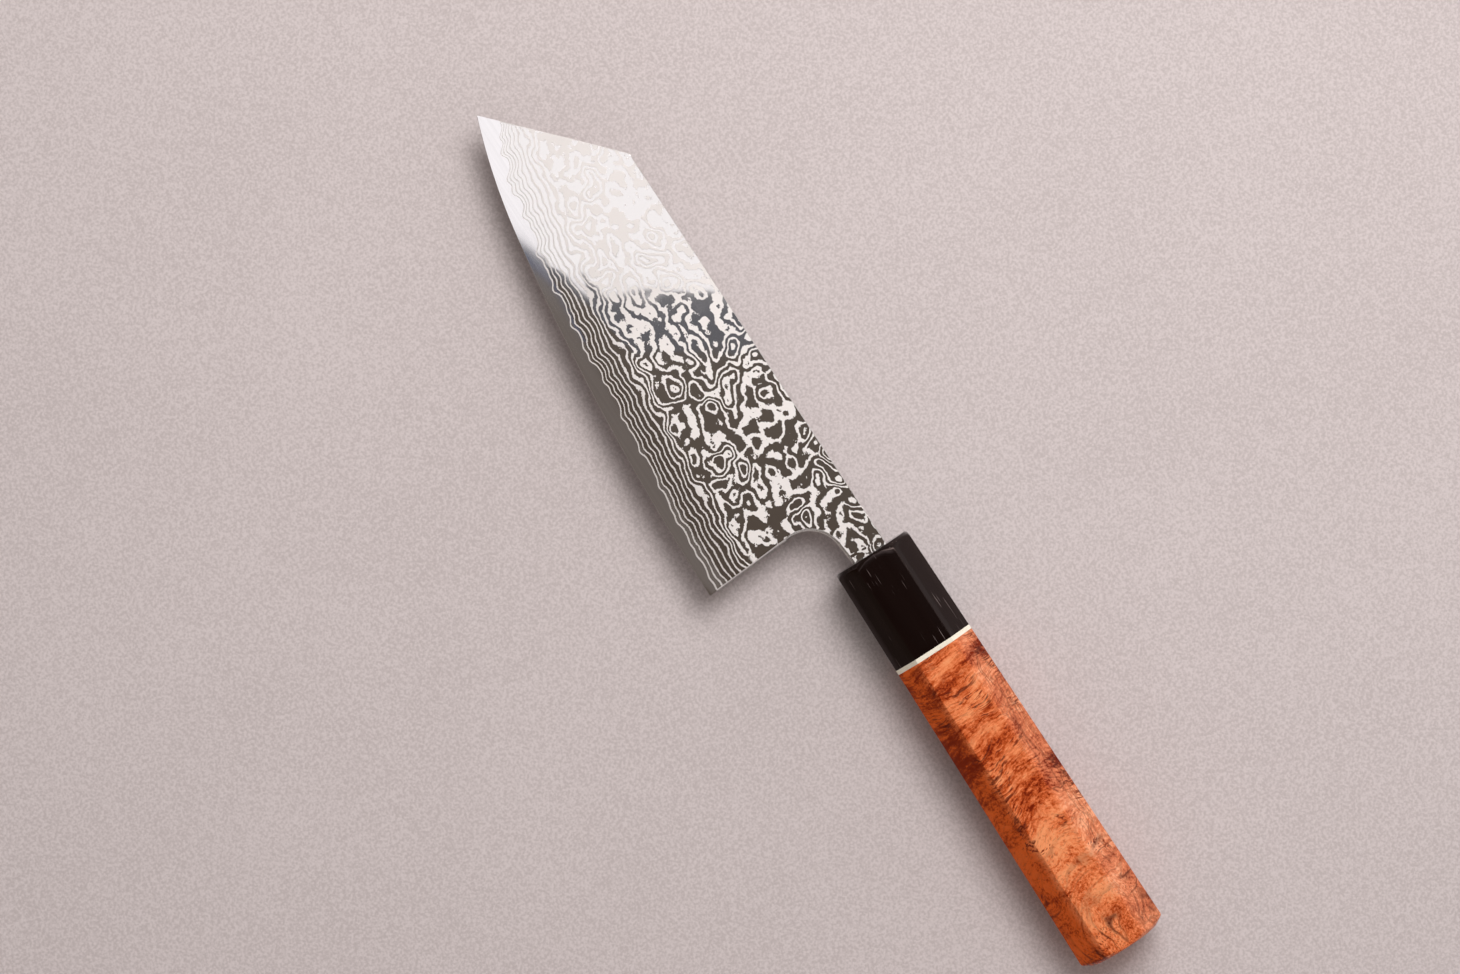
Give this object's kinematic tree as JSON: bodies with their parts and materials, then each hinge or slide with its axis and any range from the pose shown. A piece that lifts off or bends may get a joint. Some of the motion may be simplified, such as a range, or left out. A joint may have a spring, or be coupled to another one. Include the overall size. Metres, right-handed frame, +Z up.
{
  "type": "kitchen knife",
  "caption": "Small general-purpose kitchen knife: clipped-tip laminated blade in layered patterned steel, octagonal burl-wood handle with a dark wood ferrule and a pale spacer.",
  "frame": {"origin": "under the middle of the part's box, on the surface that the knife lies on", "axes": "+X along the handle's axis to the tip, +Y towards the cutting edge, +Z up out of the left face"},
  "size_m": [0.2646, 0.052, 0.02],
  "materials": {
    "core_steel": "fine satin grind along the edge",
    "layered_steel": "etched light and dark layers, polished",
    "dark_wood": "near-black hardwood, polished",
    "pale_spacer": "cream, satin",
    "burl_wood": "orange-brown burl with dark flecks, oiled satin",
    "dowel_wood": "plain straight-grained hardwood",
    "resin": "set amber resin"
  },
  "bodies": {
    "root": {"core_steel": "core_steel", "cladding_left": "layered_steel", "cladding_right": "layered_steel", "ferrule": "dark_wood", "spacer": "pale_spacer", "handle_body": "burl_wood", "tang_dowel": "dowel_wood", "tang_bedding": "resin"}
  },
  "joints": []
}
